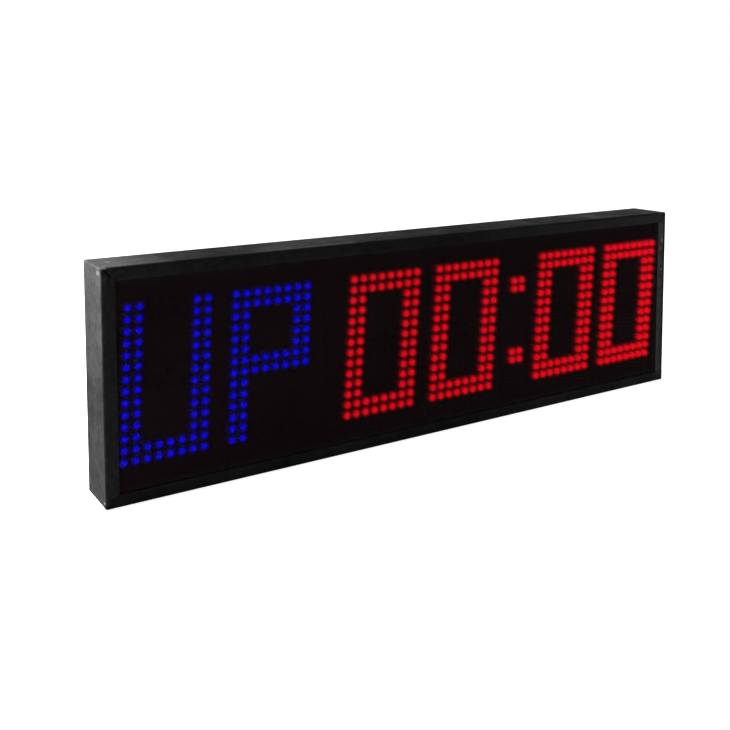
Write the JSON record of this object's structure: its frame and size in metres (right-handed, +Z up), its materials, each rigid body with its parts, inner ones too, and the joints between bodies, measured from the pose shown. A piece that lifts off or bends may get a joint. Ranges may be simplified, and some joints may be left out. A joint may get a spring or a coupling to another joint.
{
  "type": "gym clock",
  "caption": "Wall-hung gym interval timer: black mitred aluminium casing, smoked front sheet, slanted dot-LED digits with a colon, rear controls and swivelling keyhole hangers.",
  "frame": {"origin": "middle of the clock's footprint, on the surface that its bottom rail stands on", "axes": "the display faces -Y, +X runs along the length to the right as seen from the front, +Z is up"},
  "size_m": [0.493, 0.04, 0.148],
  "materials": {
    "powder_coat": "matte",
    "smoked_acrylic": "gloss",
    "blue_leds": "satin",
    "red_leds": "satin",
    "circuit_board": "satin",
    "black_plastic": "satin",
    "rocker_plastic": "satin",
    "button_rubber": "matte",
    "chip_resin": "matte",
    "bare_aluminium": "satin",
    "zinc_steel": "satin",
    "black_steel": "satin",
    "brass": "satin",
    "cell_steel": "polished",
    "ribbon_grey": "satin",
    "nylon": "satin",
    "capacitor_sleeve": "satin"
  },
  "bodies": {
    "casing": {"frame_top": "powder_coat", "frame_bottom": "powder_coat", "frame_left": "powder_coat", "frame_right": "powder_coat", "corner_key_top_left": "bare_aluminium", "corner_key_top_right": "bare_aluminium", "corner_key_bottom_left": "bare_aluminium", "corner_key_bottom_right": "bare_aluminium", "front_lens": "smoked_acrylic", "led_board_left": "blue_leds", "led_board_centre": "red_leds", "led_board_right": "red_leds", "colon_board": "red_leds", "ir_receiver": "chip_resin", "main_board": "circuit_board", "mcu_chip": "chip_resin", "buzzer": "black_plastic", "filter_capacitor": "capacitor_sleeve", "coin_cell_holder": "black_plastic", "coin_cell": "cell_steel", "dc_jack": "black_plastic", "dc_jack_pin": "zinc_steel", "board_standoff_1": "brass", "board_standoff_2": "brass", "board_standoff_3": "brass", "board_standoff_4": "brass", "board_screw_1": "zinc_steel", "board_screw_2": "zinc_steel", "board_screw_3": "zinc_steel", "board_screw_4": "zinc_steel", "tact_switch_1": "chip_resin", "tact_switch_2": "chip_resin", "tact_switch_3": "chip_resin", "ribbon_left": "ribbon_grey", "ribbon_right": "ribbon_grey", "colon_link": "ribbon_grey", "header_link": "black_plastic", "rear_cover": "powder_coat", "cover_screw_1": "black_steel", "cover_screw_2": "black_steel", "cover_screw_3": "black_steel", "cover_screw_4": "black_steel", "cover_screw_5": "black_steel", "cover_screw_6": "black_steel", "cover_screw_7": "black_steel", "cover_screw_8": "black_steel", "switch_housing": "black_plastic", "hanger_screw_left": "zinc_steel", "hanger_screw_right": "zinc_steel", "hanger_spacer_left": "nylon", "hanger_spacer_right": "nylon", "hanger_nut_left": "zinc_steel", "hanger_nut_right": "zinc_steel"},
    "rocker": {"switch_rocker": "rocker_plastic"},
    "button_mode": {"set_button_mode": "button_rubber"},
    "button_up": {"set_button_up": "button_rubber"},
    "button_down": {"set_button_down": "button_rubber"},
    "tab_left": {"hanger_left": "zinc_steel"},
    "tab_right": {"hanger_right": "zinc_steel"}
  },
  "joints": [
    {"name": "switch_rock", "type": "hinge", "parent": "casing", "child": "rocker", "pos_m": [0.0795, 0.0126, 0.054], "axis": [-1, 0, 0], "range_deg": [0, 18]},
    {"name": "press_mode", "type": "slide", "parent": "casing", "child": "button_mode", "axis": [0, -1, 0], "range_m": [0, 0.0005], "stiffness_N_per_m": 600, "springref_m": -0.0015},
    {"name": "press_up", "type": "slide", "parent": "casing", "child": "button_up", "axis": [0, -1, 0], "range_m": [0, 0.0005], "stiffness_N_per_m": 600, "springref_m": -0.0015},
    {"name": "press_down", "type": "slide", "parent": "casing", "child": "button_down", "axis": [0, -1, 0], "range_m": [0, 0.0005], "stiffness_N_per_m": 600, "springref_m": -0.0015},
    {"name": "hanger_swivel_left", "type": "hinge", "parent": "casing", "child": "tab_left", "pos_m": [-0.18, 0.01615, 0.133], "axis": [0, 1, 0], "continuous": true},
    {"name": "hanger_swivel_right", "type": "hinge", "parent": "casing", "child": "tab_right", "pos_m": [0.18, 0.01615, 0.133], "axis": [0, 1, 0], "continuous": true}
  ]
}
